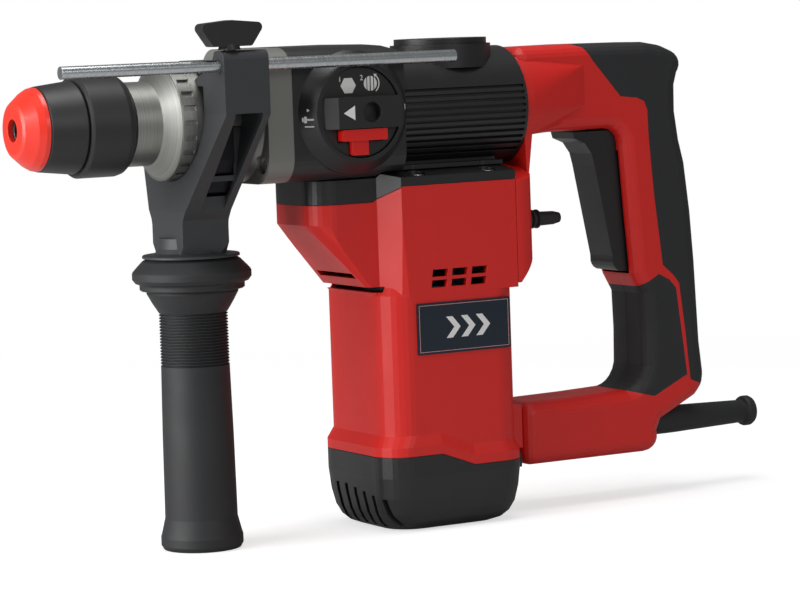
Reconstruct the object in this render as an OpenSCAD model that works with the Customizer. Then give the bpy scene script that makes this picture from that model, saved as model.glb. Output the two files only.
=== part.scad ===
// Rotary hammer with an upright motor, a D-handle and a side handle.
// The origin is the mouth of the tool socket, on the spindle's axis.
// The nose points to -X, the D-handle to +X, and the selector dial is on the -Y side.

/* [Tool socket] */
// Diameter of the tool socket's front guide
socket_d = 10.1; // [10.05:0.05:10.3]
// Length of the plain front guide
socket_guide = 14; // [12:1:16]

/* [Side handle] */
// Length of the ribbed band on the grip
grip_rib_length = 26; // [15:1:30]
// Number of ribs on the grip
grip_ribs = 18; // [10:1:20]
// Diameter of the grip
grip_d = 33; // [30:1:35]

/* [Depth rod] */
// Diameter of the depth rod
rod_d = 6; // [5:0.5:6]
// Length of the depth rod
rod_length = 208; // [190:1:220]

/* [Motor housing] */
// Length of the waist, front to back
waist_length = 76; // [75:1:77]
// Width of the waist, side to side
waist_width = 69; // [68:1:70]

/* [Handle] */
// Half the thickness of the D-handle
handle_half = 18; // [17.5:0.5:18.5]
// Thickness of the soft grip over the shells
soft_skin = 2.4; // [2:0.2:2.6]

/* [Hidden] */
$fn = 64;

red = "#d8281e";
black = "#2a2a2c";
steel = "#b8bcc0";
floor_z = -205;

// Spindle and hammer mechanism
spindle_r = 16;
cylinder_r = 13.05;
striker_r = 8.45;
sleeve_x = 27;
sleeve_travel = 7;
spring_end_x = 46;

// Gearbox
neck_r = 27;
plate_x = [113, 126.5];
plate_y = 34;
plate_z = [-31, 33.5];
barrel_r = 30;
barrel_end = 261;
flange_top = -28.5;
flange_side = -35.5;
flange_nose = -43;
dial_x = 159;
dial_z = 1.5;

// Motor and gears, all with a module of 1 mm
motor_x = 212;
pinion_teeth = 7;
crank_teeth = 27;
inter_teeth = 41;
crank_x = motor_x + (pinion_teeth + crank_teeth) / 2;
inter_x = motor_x - (pinion_teeth + inter_teeth) / 2;
gear_z = [-40.5, -34];
crank_throw = 6;
bevel_pinion_teeth = 10;
bevel_ring_teeth = 29;
bevel_module = 1.4;
bevel_r = bevel_module * bevel_ring_teeth / 2;
bevel_pinion_r = bevel_module * bevel_pinion_teeth / 2;

// Side handle
grip_x = 86.5;
yoke_x = [83, 106.5];
arm_y = [-49.3, -38.7];
rod_y = -44;
rod_z = 26.5;
rod_x = 2.5;
wing_x = 88.8;

// Motor housing
waist_x = [motor_x - waist_length / 2, motor_x + waist_length / 2];
waist_y = waist_width / 2;
wall = 2.8;
nose_x = 141.5;
nose_y = 24;
seam_x = 249;

// D-handle
trigger_pivot = [329.5, -20];
sleeve_axis_z = -168.7;

// ---- Helpers ----

function polar(r, a) = [r * cos(a), r * sin(a)];
function arc(c, r, a0, a1, n = 8) =
    [for (k = [0:n]) c + polar(r, a0 + (a1 - a0) * k / n)];
function round_rect(x0, x1, y0, y1, r) = concat(
    arc([x1 - r, y0 + r], r, -90, 0), arc([x1 - r, y1 - r], r, 0, 90),
    arc([x0 + r, y1 - r], r, 90, 180), arc([x0 + r, y0 + r], r, 180, 270));

// A round bar, cone or tube along X
module x_bar(x0, x1, r) translate([x0, 0, 0]) rotate([0, 90, 0]) cylinder(h = x1 - x0, r = r);
module x_cone(x0, x1, r0, r1)
    translate([x0, 0, 0]) rotate([0, 90, 0]) cylinder(h = x1 - x0, r1 = r0, r2 = r1);
module x_tube(x0, x1, r_out, r_in) difference() {
    x_bar(x0, x1, r_out);
    x_bar(x0 - 1, x1 + 1, r_in);
}
// A turned shape about X, from points of radius and x
module x_turned(points) rotate([0, 90, 0]) rotate_extrude() polygon(points);
// A round bar along Z
module z_bar(x, y, z0, z1, r) translate([x, y, z0]) cylinder(h = z1 - z0, r = r);
// A round bar along Y
module y_bar(x, z, y0, y1, r) translate([x, y0, z]) rotate([-90, 0, 0]) cylinder(h = y1 - y0, r = r);
module y_cone(x, z, y0, y1, r0, r1)
    translate([x, y0, z]) rotate([-90, 0, 0]) cylinder(h = y1 - y0, r1 = r0, r2 = r1);
// An outline in X and Y, raised along Z
module slab_xy(points, z0, z1) translate([0, 0, z0]) linear_extrude(z1 - z0) polygon(points);
// An outline in X and Z, as thick as y0 to y1
module slab_xz(points, y0, y1)
    translate([0, y1, 0]) rotate([90, 0, 0]) linear_extrude(y1 - y0) polygon(points);
// An outline in Y and Z, as thick as x0 to x1
module slab_yz(points, x0, x1)
    translate([x0, 0, 0]) rotate([90, 0, 90]) linear_extrude(x1 - x0) polygon(points);
// A box between two corners
module block(low, high) translate(low) cube(high - low);
module both_sides() {
    children();
    mirror([0, 1, 0]) children();
}

// Spur gear outline with short, thinned teeth
function roll(r, rb) = let (t = sqrt(max(0, pow(r / rb, 2) - 1))) t * 180 / PI - atan(t);
function tooth(n, neck) = let (rp = n / 2, rb = rp * cos(20), tip = rp + 0.75, root = rp - 1.2,
    half = 90 / n - 7 / rp + roll(rp, rb), base = max(rb, root), steps = 4) concat(
    [polar(root, -half * neck)],
    [for (k = [0:steps]) let (r = base + (tip - base) * k / steps)
        polar(r, -half + roll(r, rb))],
    [for (k = [steps:-1:0]) let (r = base + (tip - base) * k / steps)
        polar(r, half - roll(r, rb))],
    [polar(root, half * neck)]);
function turned(p, a) = [p[0] * cos(a) - p[1] * sin(a), p[0] * sin(a) + p[1] * cos(a)];
module spur_gear(x, n, z, neck = 1) translate([x, 0, z[0]]) linear_extrude(z[1] - z[0])
    polygon([for (i = [0:n - 1]) for (p = tooth(n, neck)) turned(p, 360 * i / n)]);

// A coil along Z, as a stack of rings
module rings(r, wire, h, turns) for (i = [0:turns - 1])
    translate([0, 0, wire + i * (h - 2 * wire) / (turns - 1)])
        rotate_extrude() translate([r, 0]) circle(r = wire, $fn = 24);

// A ball bearing along Z with its lower face at z0
module ball_bearing(z0, h, r_in, r_out) translate([0, 0, z0]) {
    race = (r_out - r_in) * 0.3;
    mid = (r_in + r_out) / 2;
    ball_r = (r_out - r_in) * 0.29;
    difference() {
        cylinder(h = h, r = r_out);
        translate([0, 0, -1]) cylinder(h = h + 2, r = r_out - race);
        translate([0, 0, h / 2]) rotate_extrude() translate([mid, 0]) circle(r = ball_r + 0.05);
    }
    difference() {
        cylinder(h = h, r = r_in + race);
        translate([0, 0, -1]) cylinder(h = h + 2, r = r_in);
        translate([0, 0, h / 2]) rotate_extrude() translate([mid, 0]) circle(r = ball_r + 0.05);
    }
    for (a = [0:45:315]) rotate(a) translate([mid, 0, h / 2]) sphere(r = ball_r, $fn = 24);
}

// ---- Chuck, on the spindle ----

module dust_cap() color("#ee4a38") difference() {
    x_turned([[5.4, -3], [11.4, -3], [13.2, -2.2], [17.6, 3], [19.3, 6], [19.7, 8],
        [13.6, 8], [13.6, 5], [10.05, 5], [10.05, -0.4], [5.4, -0.4]]);
    x_bar(-4, 0, 5.4);
}

module front_collar() color(black)
    x_turned([[13.02, 8.3], [19.5, 8.3], [20, 8.9], [21.9, 25.8], [21.5, 26.6], [13.02, 26.6]]);

module locking_sleeve() color(black) difference() {
    x_turned([[13.3, sleeve_x], [23.1, sleeve_x], [24, sleeve_x + 1.3], [24, 46.5], [23.3, 49],
        [21.8, 50.8], [20.3, 51], [20.3, sleeve_x + 3.2], [13.3, sleeve_x + 3.2]]);
}

module sleeve_spring() color(steel)
    translate([sleeve_x + 3.4, 0, 0]) rotate([0, 90, 0])
        rings(17.2, 0.9, spring_end_x - sleeve_x - 3.6, 5);

module locking_balls() color(steel) both_in_z() translate([28, 0, 8.3]) sphere(r = 3.5);
module both_in_z() {
    children();
    mirror([0, 0, 1]) children();
}

module spindle() color(steel) difference() {
    union() {
        x_bar(0, 12, 10);
        x_bar(11, 50.5, 13);
        x_bar(spring_end_x, spring_end_x + 2, 19.4);
        x_bar(50.5, 178, spindle_r);
    }
    x_bar(-1, socket_guide + 0.5, socket_d / 2);
    // Relieved length behind the guide, with the two drive ribs
    difference() {
        x_bar(socket_guide, 48.5, 5.8);
        both_sides() block([socket_guide + 4, 4.3, -2.3], [35, 7, 2.3]);
    }
    x_bar(48, 93, striker_r + 0.05);
    x_bar(92, 179, cylinder_r);
    both_in_z() block([24.3, -3.65, 3], [31.7, 3.65, 14]);
    for (a = [0:90:270]) rotate([a + 45, 0, 0]) z_bar(110, 0, 10, 17, 1.5);
}

module spindle_seal() color("#1c1c1c") x_tube(53.5, 59, 17.5, spindle_r + 0.06);

module spindle_bearing() color(steel)
    rotate([0, 90, 0]) ball_bearing(82, 12, spindle_r + 0.05, 23);

module striker() color(steel) union() {
    x_bar(40, 57, 5);
    x_bar(56, 86, striker_r);
    x_bar(86, 91, 6);
}

module flying_ram() color(steel) difference() {
    union() {
        x_bar(106, 121, 7.5);
        x_bar(120, 138, 13);
    }
    x_tube(127.8, 131.2, 14, 10.7);
}

module ram_o_ring() color("#161616")
    translate([129.5, 0, 0]) rotate([0, 90, 0]) rotate_extrude()
        translate([11.95, 0]) circle(r = 1.08, $fn = 32);

module piston() color("#9fa3a6") difference() {
    x_bar(163, 196, 13);
    x_bar(168, 197, 10.8);
    x_tube(165, 166.5, 14, 12);
}

// ---- Crank drive ----

module wrist_pin() color(steel) z_bar(187, 0, -6, 6, 2.2);

module connecting_rod() color("#a5a9ac") difference() {
    union() {
        z_bar(187, 0, -4, 4, 3.4);
        block([189, -3, -3], [230, 3, 3]);
        z_bar(crank_x + crank_throw, 0, -4, 4, 7);
    }
    z_bar(187, 0, -5, 5, 2.2);
    z_bar(crank_x + crank_throw, 0, -5, 5, 3.55);
}

module crankshaft() color(steel) union() {
    z_bar(crank_x, 0, -49, -15, 5);
    z_bar(crank_x, 0, -16, -10.5, 11.5);
    z_bar(crank_x + crank_throw, 0, -11, 5, 3.5);
}

module crank_gear() color("#8f9295") difference() {
    spur_gear(crank_x, crank_teeth, gear_z);
    z_bar(crank_x, 0, -42, -33, 5);
}

module intermediate_gear() color("#8f9295") difference() {
    spur_gear(inter_x, inter_teeth, gear_z);
    z_bar(inter_x, 0, -42, -33, 4.5);
    for (a = [30:60:330]) translate([inter_x, 0, -42]) rotate(a)
        translate([12, 0, 0]) cylinder(h = 10, r = 3);
}

bevel_slant = sqrt(pow(bevel_r, 2) + pow(bevel_pinion_r, 2));
bevel_angle = atan(bevel_pinion_teeth / bevel_ring_teeth);

// A straight bevel tooth along the pitch cone, which leans by angle below the X axis
module bevel_tooth(angle, side) rotate([0, angle, 0]) translate([16.6, 0, 0])
    rotate([90, 0, 90]) linear_extrude(bevel_slant - 16.6)
        polygon([[-0.95, -1.6 * side], [0.95, -1.6 * side], [0.4, 0.8 * side], [-0.4, 0.8 * side]]);

module bevel_pinion() color("#8f9295") {
    z_bar(inter_x, 0, -49, -26, 4.5);
    translate([inter_x, 0, 0]) {
        translate([0, 0, -24]) cylinder(h = 8.7, r1 = 6.6, r2 = 4.3);
        translate([0, 0, -27]) cylinder(h = 3.2, r = 6.6);
        for (i = [0:bevel_pinion_teeth - 1]) rotate(i * 360 / bevel_pinion_teeth)
            bevel_tooth(90 - bevel_angle, 1);
    }
}

module bevel_ring_gear() color("#8f9295") difference() {
    union() {
        x_bar(171.5, 178.5, 19);
        x_cone(177, 179.6, 21.2, 20.4);
        x_cone(179.5, 181.3, 20.6, 15.4);
        translate([inter_x, 0, 0]) rotate([0, -90, 0])
            for (i = [0:bevel_ring_teeth - 1]) rotate(i * 360 / bevel_ring_teeth)
                bevel_tooth(-bevel_angle, -1);
    }
    x_bar(171, 190, 15.3);
    x_bar(171, 178.1, spindle_r);
}
module shift_sleeve() color(steel) difference() {
    x_tube(148, 162, 21.5, spindle_r + 0.05);
    x_tube(152, 158.2, 23, 18);
    for (a = [0:30:330]) rotate([a, 0, 0]) block([160, -1.5, 19.5], [163, 1.5, 23]);
}

module gear_bushes() color("#c09a4a") {
    difference() {
        z_bar(crank_x, 0, -49.5, -42.2, 8);
        z_bar(crank_x, 0, -50, -42, 5.06);
    }
    difference() {
        z_bar(inter_x, 0, -49.5, -42.2, 7.5);
        z_bar(inter_x, 0, -50, -42, 4.56);
    }
}

// ---- Gearbox ----

module gearbox_neck() color("#b9bcbd") difference() {
    union() {
        x_bar(52, 65, 20);
        x_cone(64.9, 71.8, 20, 26.6);
        difference() {
            x_bar(71.7, 79.5, 27.6);
            for (a = [0:15:345]) rotate([a, 0, 0]) block([73.2, -1.3, 26.4], [80, 1.3, 29]);
        }
        x_bar(79, 108, neck_r);
        x_cone(107.9, 113.1, neck_r, 31);
        slab_yz(round_rect(-plate_y, plate_y, plate_z[0], plate_z[1], 13), plate_x[0], plate_x[1]);
    }
    x_bar(51, 60, 17.6);
    x_bar(59, 83, spindle_r + 0.8);
    x_bar(82, 94, 23);
    x_bar(93, 128, 21.5);
    neck_screw_places() {
        z_bar(0, 0, -20, 1, 2.2);
        z_bar(0, 0, -0.2, 12, 4.4);
    }
}
module neck_screw_places() for (y = [-26.5, 26.5], z = [-21.5, 24])
    translate([117, y, z]) rotate([0, -90, 0]) children();

// The same cap screw holds the neck and the flange
module cap_screw() difference() {
    union() {
        cylinder(h = 2.8, r = 3.8);
        translate([0, 0, -15]) cylinder(h = 15.1, r = 2);
    }
    translate([0, 0, 1]) cylinder(h = 3, r = 1.9, $fn = 6);
}
module housing_screws() color(steel) {
    neck_screw_places() cap_screw();
    flange_screw_places() cap_screw();
}

barrel_ribs = 10;
module gearbox_housing() color(black) difference() {
    union() {
        intersection() {
            slab_yz(round_rect(-plate_y, plate_y, plate_z[0], plate_z[1], 13),
                plate_x[1], 190);
            slab_xz([[plate_x[1], -31], [174.5, -31], [176.8, -28.3], [188, -28.3], [188, 29], [186, 30.5],
                [180, 32.6], [172, 33.5], [plate_x[1], 33.5]], -40, 40);
        }
        intersection() {
            x_bar(170, barrel_end, barrel_r);
            block([170, -40, -28.3], [270, 40, 40]);
        }
        // Foot, with a thin plate that closes the gear pockets below
        block([177, -24.2, -28.3], [248.5, 24.2, -26.2]);
        block([165, -17, -28.3], [248.5, 17, -12]);
        y_cone(dial_x, dial_z, -42, -34, 24, 29.8);
        y_bar(dial_x, dial_z, -34, -25, 29.8);
        z_bar(crank_x, 0, 20, 31.5, 25);
    }
    // Grooves between the ribs on both sides of the barrel
    difference() {
        both_sides() for (k = [0:barrel_ribs]) translate([0, 0, 10 - k * 3.1])
            block([191, 15, -0.7], [259.6, 40, 0.7]);
        x_bar(190, 261, 28.5);
    }
    x_bar(126, 258, 26.5);
    // Opening down to the gears
    slab_xy(round_rect(161, 244.5, -13.5, 13.5, 10), -40, 0);
    // Seat of the dial
    y_bar(dial_x, dial_z, -50, -37.5, 21.8);
    y_bar(dial_x, dial_z, -40, -20, 14.1);
    // Grease filling hole
    z_bar(crank_x, 0, 10, 35, 20.5);
    neck_screw_places() z_bar(0, 0, -18.5, 1, 2.2);
    flange_screw_places() z_bar(0, 0, -60, 8, 4.6);
    // Relief along the depth rod
    x_bar_at(100, 260, rod_y, rod_z, 3.4);
}

// Front part, straight side facets and round nose of the lower housings
function lower_plan(inset) = concat(
    [[seam_x - inset, -waist_y + inset], [seam_x - inset, waist_y - inset],
        [184 + inset * 0.3, waist_y - inset], [176 + inset * 0.3, nose_y - inset]],
    arc([nose_x + 12, nose_y - 12], 12 - inset, 90, 180),
    arc([nose_x + 12, -nose_y + 12], 12 - inset, 180, 270),
    [[176 + inset * 0.3, -nose_y + inset], [184 + inset * 0.3, -waist_y + inset]]);
flange_side_view = [[nose_x - 1, -31.4], [176, -31.4], [178, flange_top], [seam_x, flange_top],
    [seam_x, flange_side], [185, flange_side], [174, flange_nose], [nose_x - 1, flange_nose]];

module flange_screw_places() for (x = [196, 236], y = [-28.6, 28.6])
    translate([x, y, flange_top - 5]) children();

module bearing_flange() color(black) difference() {
    union() {
        intersection() {
            slab_xy(lower_plan(0), -60, -20);
            slab_xz(flange_side_view, -40, 40);
            // The deck falls away to both sides
            slab_yz([[-22, -20], [22, -20], [22, flange_top], [waist_y, flange_top - 2.8],
                [waist_y, -60], [-waist_y, -60], [-waist_y, flange_top - 2.8], [-22, flange_top]],
                nose_x - 1, seam_x + 1);
        }
        slab_xy(lower_plan(3.1), -50, -36);
        z_bar(motor_x, 0, -58, -49, 14);
    }
    z_bar(crank_x, 0, -42.2, -20, 15.3);
    z_bar(inter_x, 0, -42.2, -20, 22.2);
    z_bar(motor_x, 0, -42.2, -20, 6);
    z_bar(motor_x, 0, -60, -41, 4.6);
    z_bar(motor_x, 0, -59, -51, 11);
    z_bar(crank_x, 0, -49.5, -41, 8);
    z_bar(inter_x, 0, -49.5, -41, 7.5);
    flange_screw_places() {
        z_bar(0, 0, 0, 8, 4.4);
        z_bar(0, 0, -15.6, 1, 2.2);
    }
}

module grease_cap() color(black) difference() {
    union() {
        z_bar(crank_x, 0, 24.5, 32, 20.3);
        z_bar(crank_x, 0, 31.5, 34.5, 23);
    }
    z_bar(crank_x, 0, 23, 28.5, 17.5);
    for (y = [-9, 9]) translate([crank_x, y, 33]) cylinder(h = 3, r = 2.2);
    z_bar(crank_x, 0, 33.6, 36, 6);
}

// ---- Selector ----

module selector_dial() color(black) difference() {
    union() {
        y_bar(dial_x, dial_z, -41, -37.7, 21.4);
        y_bar(dial_x, dial_z, -38, -27.5, 14);
        y_bar(dial_x - 4, dial_z, -28, -18.7, 2);
        dial_bar();
    }
    // Finger hole in the bar and the pocket of the lock button
    y_bar(dial_x + 3.6, dial_z, -48, -42, 4.9);
    block([dial_x - 12.9, -48, dial_z - 13.9], [dial_x + 12.7, -38.8, dial_z - 7.5]);
    block([dial_x - 6.8, -48, dial_z - 20.9], [dial_x + 3.3, -38.8, dial_z - 13.5]);
}
module dial_bar() intersection() {
    slab_xy([[dial_x - 21, -40], [dial_x - 14.5, -46.5], [dial_x + 20, -46.5], [dial_x + 21, -40]],
        dial_z - 7.5, dial_z + 7.5);
    y_bar(dial_x, dial_z, -50, -39, 21.4);
    slab_xz(round_rect(dial_x - 21, dial_x + 21, dial_z - 7.5, dial_z + 7.5, 2.6), -50, -39);
}

module lock_button() color("#d9231c") {
    slab_xz(round_rect(dial_x - 12.4, dial_x + 12.2, dial_z - 13.4, dial_z - 7.9, 0.8), -45.6, -40.4);
    slab_xz(round_rect(dial_x - 6.3, dial_x + 2.8, dial_z - 20.4, dial_z - 12.5, 0.8), -43.4, -40.4);
}

// ---- Side handle ----

// Front view of the yoke: slanted near arm, saddle and neck
yoke_outline = concat(
    arc([arm_y[0] + 4, 29.5], 4, 180, 90, 4), arc([arm_y[1] - 2.5, 31], 2.5, 90, 0, 4),
    [[-34, 25], [-20, 21]],
    [[-16, 18], [16, 6], [30.8, 6], [32.5, 0], [32.5, -14], [30, -23]],
    arc([27.2, -50], 11, 160, 180, 4), [[16.2, -64], [-16.2, -64]],
    arc([-27.2, -50], 11, 0, 20, 4), [[arm_y[0], 3]]);
// Side view of the yoke: upright at the top, leaning forward below
yoke_side = [[yoke_x[0], 35], [yoke_x[1], 35], [yoke_x[1], 4], [99, -42], [99, -64],
    [74.5, -64], [74.5, -42], [yoke_x[0], 4]];
// Hollow of the near arm, which follows its lean
yoke_window = [[88, 4], [102.5, 4], [102.5, 0], [96.5, -36], [84, -36], [84.5, -30], [88, 0]];
band_x = [86, 97];
// Path of the clamp band, drawn as its outer and inner edges
band_pocket = [[30.6, 14], [30.6, -19], [22, -34], [9, -40.6], [-9, -40.6], [-22, -34],
    [-30.6, -19], [-30.6, 14]];

module side_handle_yoke() color(black) difference() {
    union() {
        intersection() {
            slab_yz(yoke_outline, 60, 110);
            slab_xz(yoke_side, -60, 60);
            union() {
                block([40, -70, -46], [140, 70, 50]);
                translate([grip_x, 0, -64.4]) cylinder(h = 18.5, r1 = 17, r2 = 26.2);
            }
        }
        // Flared foot that meets the hand guard
        translate([grip_x, 0, 0]) rotate_extrude() polygon([[0, -55], [15, -55], [15.6, -60],
            [17.2, -62.2], [20, -63], [23, -63.2], [23.4, -63.6], [23.4, -64.5], [0, -64.5]]);
    }
    x_bar(60, 120, neck_r + 0.1);
    x_bar(60, 80.3, 28);
    block([60, -neck_r - 0.1, 0], [120, neck_r + 0.1, 17]);
    // Pocket of the clamp band, and the room it takes when it is slack
    slab_yz(band_pocket, band_x[0] - 0.4, band_x[1] + 0.4);
    for (z = [0, 2.6]) translate([0, 0, z]) x_bar(band_x[0] - 0.4, band_x[1] + 0.4, neck_r + 2.4);
    slab_xz(yoke_window, -60, -27);
    slab_xz([[84.4, -28], [97.7, -28], [95, -43], [93, -45], [84.5, -45], [82.8, -43]], -60, -19.5);
    // Rod, wing screw and bolt
    x_bar_at(70, 120, rod_y, rod_z, rod_d / 2 + 0.05);
    z_bar(wing_x, rod_y, rod_z, 40, 3);
    z_bar(grip_x + 4, 0, -60, -30, 6.2);
    z_bar(grip_x, 0, -70, -30, 4.3);
}
module x_bar_at(x0, x1, y, z, r) translate([0, y, z]) x_bar(x0, x1, r);

band_t = 1.8;
function band_edge(t) = concat(
    [[-9 - t * 0.3, -37 - t], [-20.5 - t * 0.7, -32 - t * 0.7], [-neck_r - 0.15 - t, -18]],
    arc([0, 0], neck_r + 0.15 + t, 180, 0, 32),
    [[neck_r + 0.15 + t, -18], [20.5 + t * 0.7, -32 - t * 0.7], [9 + t * 0.3, -37 - t]]);
module clamp_band() color("#3a3c3e") difference() {
    slab_yz(band_edge(band_t), band_x[0], band_x[1]);
    slab_yz(band_edge(0), band_x[0] - 1, band_x[1] + 1);
    // Notch that hooks round the bolt
    z_bar(grip_x + 4, 0, -40, -35, 3.1);
}

module clamp_bolt() color(steel) union() {
    z_bar(grip_x + 4, 0, -36.9, -33.5, 5.6, $fn = 6);
    z_bar(grip_x + 4, 0, -38.9, -36.9, 3);
    z_bar(grip_x, 0, -96, -38.9, 4);
}

module hand_guard() color(black) difference() {
    translate([grip_x, 0, 0]) rotate_extrude() polygon([[4.5, -64.8], [21.5, -64.8],
        [23.5, -66], [26.6, -69.2], [28.2, -71], [28.6, -71.8], [28.6, -74.6], [27.2, -76.4],
        [25.4, -77], [25.2, -77.6], [25.2, -79.5], [24.6, -80], [4.5, -80]]);
}

module side_grip() color(black) difference() {
    translate([grip_x, 0, 0]) rotate_extrude() polygon(concat(
        [[4.5, -80.3], [22, -80.3], [22, -81.6], [19.6, -86], [grip_d / 2, -91]],
        [for (k = [0:grip_ribs - 1]) for (s = [0, 1, 2, 3]) [grip_d / 2 - (s < 2 ? 0.9 : 0),
            -91.2 - (k + s / 4) * grip_rib_length / grip_ribs]],
        [[grip_d / 2, -118], [grip_d / 2 + 0.6, -150], [grip_d / 2 + 1, -190],
            [19.2, -197], [19.8, -199], [19.8, -203], [18.6, floor_z], [0, floor_z],
            [0, -100], [4.5, -100]]));
}

module wing_screw() color(black) {
    translate([wing_x, rod_y, 0]) {
        translate([0, 0, rod_z + rod_d / 2 + 0.1]) cylinder(h = 7, r = 2.95);
        translate([0, 0, 33.8]) cylinder(h = 2.4, r1 = 5.4, r2 = 4.6);
    }
    slab_xz(concat(arc([wing_x + 9.2, 37], 1.6, -90, -35, 3), arc([wing_x + 13.2, 44], 2.4, -30, 80, 6),
        [[wing_x, 47.6]], arc([wing_x - 13.2, 44], 2.4, 100, 210, 6),
        arc([wing_x - 9.2, 37], 1.6, 215, 270, 3)), rod_y - 4, rod_y + 4);
}

rod_teeth = 104;
module depth_rod() color(steel) difference() {
    x_bar_at(rod_x, rod_x + rod_length, rod_y, rod_z, rod_d / 2);
    for (k = [0:rod_teeth - 1])
        translate([rod_x + 1 + k * (rod_length - 3) / rod_teeth, rod_y, rod_z - rod_d / 2])
            rotate([0, 45, 0]) cube([0.75, rod_d, 0.75], center = true);
}

// ---- Motor ----

cap_x = [motor_x - waist_length / 2 - 3, motor_x + waist_length / 2 + 2];
cap_y = waist_y + 1.5;
cap_line = [[160, -167.5], [201.5, -167.5], [220, -174.5], [260, -174.5]];

// Outline round the foot of the upper part, where the nose has run out
function foot_plan(inset) = [[seam_x + 2, -waist_y + inset], [seam_x + 2, waist_y - inset],
    [187 + inset * 0.3, waist_y - inset], [174 + inset, 14 - inset], [174 + inset, -14 + inset],
    [187 + inset * 0.3, -waist_y + inset]];
function waist_plan(inset) = round_rect(waist_x[0] + inset, waist_x[1] - inset, -waist_y + inset,
    waist_y - inset, 14 - min(inset, 9));

// Outer and inner shapes of the motor housing's upper part, its waist and the bevel between
module housing_form(inset) {
    intersection() {
        slab_xy(lower_plan(inset), -100, -20);
        slab_xz([[nose_x - 1, flange_nose - 0.2 + 3 * inset], [174, flange_nose - 0.2 + 3 * inset],
            [185, flange_side - 0.2 + 3 * inset], [seam_x + 1, flange_side - 0.2 + 3 * inset],
            [seam_x + 1, -89], [192, -89], [waist_x[0] + 4, -93.4 + inset * 1.4],
            [nose_x + 1.5, -55 + inset * 1.4], [nose_x - 1, -52.5 + inset * 1.4]], -40, 40);
        hull() {
            slab_xy(lower_plan(inset), -53, -20);
            slab_xy(foot_plan(inset), -96, -95);
        }
    }
    hull() {
        slab_xy(waist_plan(inset), -89.2, -89);
        slab_xy(waist_plan(inset + 6), -79, -78);
    }
    slab_xy(waist_plan(inset), -180 - inset, -89);
}
module cap_plan(inset, z0, z1) slab_xy(round_rect(cap_x[0] + inset, cap_x[1] - inset,
    -cap_y + inset, cap_y - inset, 14), z0, z1);
// Thin strip a given height over the cap's edge
module edge_strip(k, up) slab_xz([cap_line[k] + [0, up], cap_line[k + 1] + [0, up],
    cap_line[k + 1] + [0, up - 0.1], cap_line[k] + [0, up - 0.1]], -50, 50);

module motor_housing() color(red) difference() {
    union() {
        housing_form(0);
        // Flared band round the foot of the waist, a fixed height over the cap's edge
        for (k = [0:2]) hull() {
            intersection() {
                slab_xy(waist_plan(0), -180, -140);
                edge_strip(k, 10);
            }
            intersection() {
                cap_plan(0, -180, -140);
                edge_strip(k, 4.5);
            }
        }
        intersection() {
            cap_plan(0, -176, -140);
            slab_xz(concat([for (p = cap_line) p + [0, 4.5]], [[260, -180], [160, -180]]), -50, 50);
        }
        // Block that carries the lower end of the D-handle
        block([waist_x[1] - 1, -17, -172], [259.5, 17, -150.5]);
    }
    housing_form(wall);
    // Joint line with the end cap
    slab_xz(concat(cap_line, [[260, -190], [160, -190]]), -50, 50);
    // Side windows for the cooling air
    for (row = [0, 1], k = [0:2])
        translate([199.7 + k * 11.2 - row * 0.6, 0, -79 - row * 5.2])
            slab_xz([[0, -1.8], [8.6, -1.8], [9.2, 1.8], [0.6, 1.8]], -50, 50);
    // Front windows on the slope and the waist
    block([150, -19, -80], [176, 17, -77.4]);
    block([150, -26, -87.2], [182, 24, -84.4]);
}

module label_plate() color("#10202f")
    slab_xz(round_rect(190, 243.2, -118.4, -93.2, 0.8), -waist_y - 0.7, -waist_y);

// Rounded cup, drawn in by inset
module end_cap_form(inset) hull() {
    cap_plan(inset, -178, -160);
    cap_plan(inset + 0.9, -188.1, -188);
    cap_plan(inset + 2.4, -196.1, -196);
    cap_plan(inset + 4.4, -200.6 + inset * 0.9, -200.5 + inset * 0.9);
    cap_plan(inset + 7.2, -203.6 + inset * 0.9, -203.5 + inset * 0.9);
    cap_plan(inset + 10.5, floor_z + inset, floor_z + 0.1 + inset);
}
vent_slots = 7;
module end_cap() color(black) difference() {
    end_cap_form(0);
    difference() {
        end_cap_form(wall);
        // Seat of the lower bearing, carried by a cross wall
        slab_xy(round_rect(168, 256, -9, 9, 3), -184, -174.8);
    }
    z_bar(motor_x, 0, -183, -170, 9.5);
    // Edge that meets the motor housing
    slab_xz(concat([for (p = cap_line) p - [0, 0.2]], [[260, -150], [160, -150]]), -50, 50);
    // Slots in the front wall, leaning a little, down into the rounded foot
    for (k = [0:vent_slots - 1]) translate([cap_x[0], 25 - k * 8.6, -193])
        rotate([-6, 0, 0]) block([-3, -1.45, -9.8], [12, 1.45, 9.4 - max(0, k - 2) * 1.2]);
}

module armature_shaft() color(steel) difference() {
    union() {
        z_bar(motor_x, 0, -182, -52.2, 4.5);
        z_bar(motor_x, 0, -53, -42.4, 4);
        spur_gear(motor_x, pinion_teeth, [-42.5, gear_z[1]], 0.6);
    }
}

module armature_core() color("#77797b") translate([motor_x, 0, 0]) difference() {
    translate([0, 0, -138]) cylinder(h = 38, r = 20.5);
    translate([0, 0, -139]) cylinder(h = 40, r = 4.5);
    for (a = [0:30:330]) rotate(a) translate([19.6, 0, -119]) cube([4, 2, 40], center = true);
}

module armature_windings() color("#b4682c") translate([motor_x, 0, 0]) {
    for (z = [-148, -99.9]) difference() {
        translate([0, 0, z]) cylinder(h = 9.9, r = 17.5);
        translate([0, 0, z - 1]) cylinder(h = 12, r = 4.5);
    }
}

module commutator() color("#b8763a") translate([motor_x, 0, 0]) difference() {
    translate([0, 0, -168]) cylinder(h = 16, r = 12);
    translate([0, 0, -169]) cylinder(h = 18, r = 4.5);
    for (a = [0:15:345]) rotate(a) translate([12, 0, -160]) cube([1.6, 0.5, 18], center = true);
}

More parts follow.
